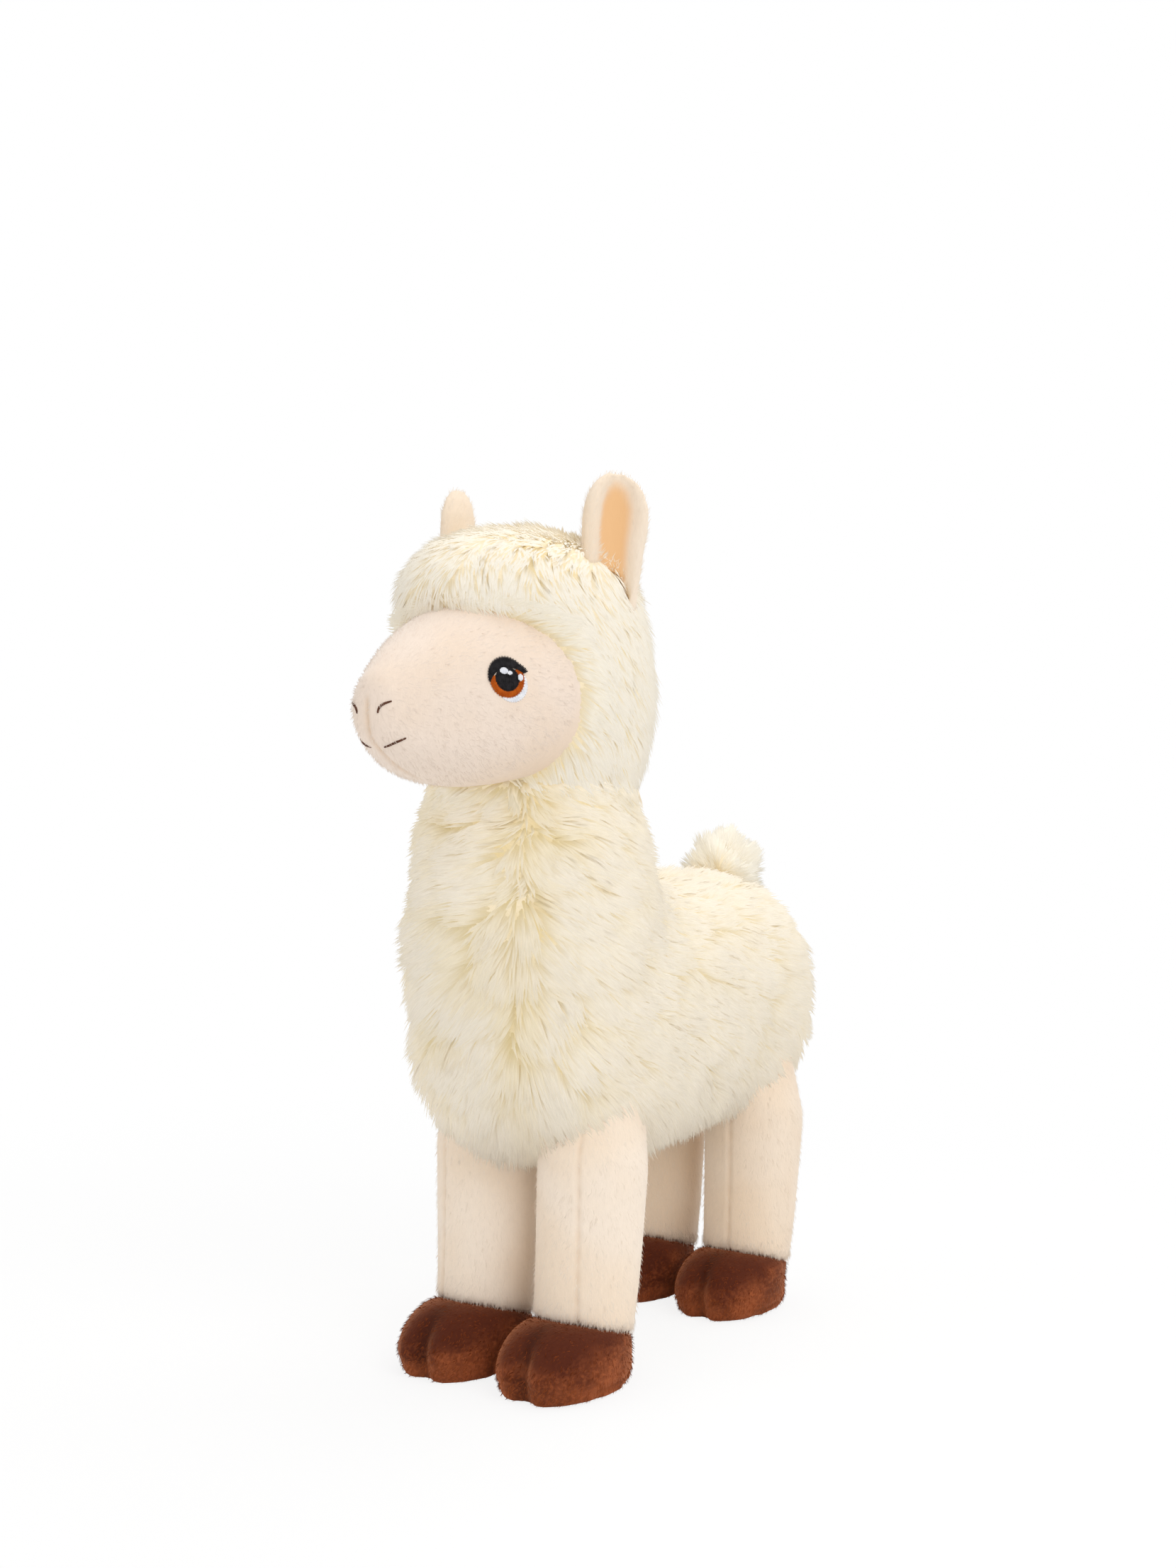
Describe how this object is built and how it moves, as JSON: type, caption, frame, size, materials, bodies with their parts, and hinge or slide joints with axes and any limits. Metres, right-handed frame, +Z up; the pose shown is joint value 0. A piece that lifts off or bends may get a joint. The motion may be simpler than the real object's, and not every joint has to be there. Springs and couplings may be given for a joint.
{
  "type": "plush llama",
  "caption": "Standing plush llama with a long-pile coat and hood, short-pile face, ears and legs, and cleft-toed feet.",
  "frame": {"origin": "bottom centre of the part's box, on the surface that the feet stand on", "axes": "+Z up, the llama faces -Y, its left side is +X"},
  "size_m": [0.0899, 0.2346, 0.3001],
  "materials": {
    "long_pile": "cream long-pile plush, combed away from the chest parting",
    "short_pile": "cream short-pile plush, nap lying down",
    "hoof_pile": "brown short-pile plush, slightly streaked where the nap turns",
    "black_thread": "black satin-stitch embroidery",
    "amber_thread": "amber satin-stitch embroidery",
    "white_thread": "white satin-stitch embroidery",
    "brown_thread": "dark brown stitched line"
  },
  "bodies": {
    "root": {"coat": "long_pile", "ear_left": "short_pile", "ear_right": "short_pile", "eye_glint_left_1": "white_thread", "eye_glint_left_2": "white_thread", "eye_glint_right_1": "white_thread", "eye_glint_right_2": "white_thread", "eye_white_left": "white_thread", "eye_white_right": "white_thread", "eyelid_left": "black_thread", "eyelid_right": "black_thread", "face": "short_pile", "foot_front_left": "hoof_pile", "foot_front_right": "hoof_pile", "foot_hind_left": "hoof_pile", "foot_hind_right": "hoof_pile", "hood": "long_pile", "iris_left": "amber_thread", "iris_right": "amber_thread", "leg_front_left": "short_pile", "leg_front_right": "short_pile", "leg_hind_left": "short_pile", "leg_hind_right": "short_pile", "mouth_left": "brown_thread", "mouth_right": "brown_thread", "nostril_left": "brown_thread", "nostril_right": "brown_thread", "pupil_left": "black_thread", "pupil_right": "black_thread", "sole_front_left": "hoof_pile", "sole_front_right": "hoof_pile", "sole_hind_left": "hoof_pile", "sole_hind_right": "hoof_pile", "tail": "long_pile"}
  },
  "joints": []
}
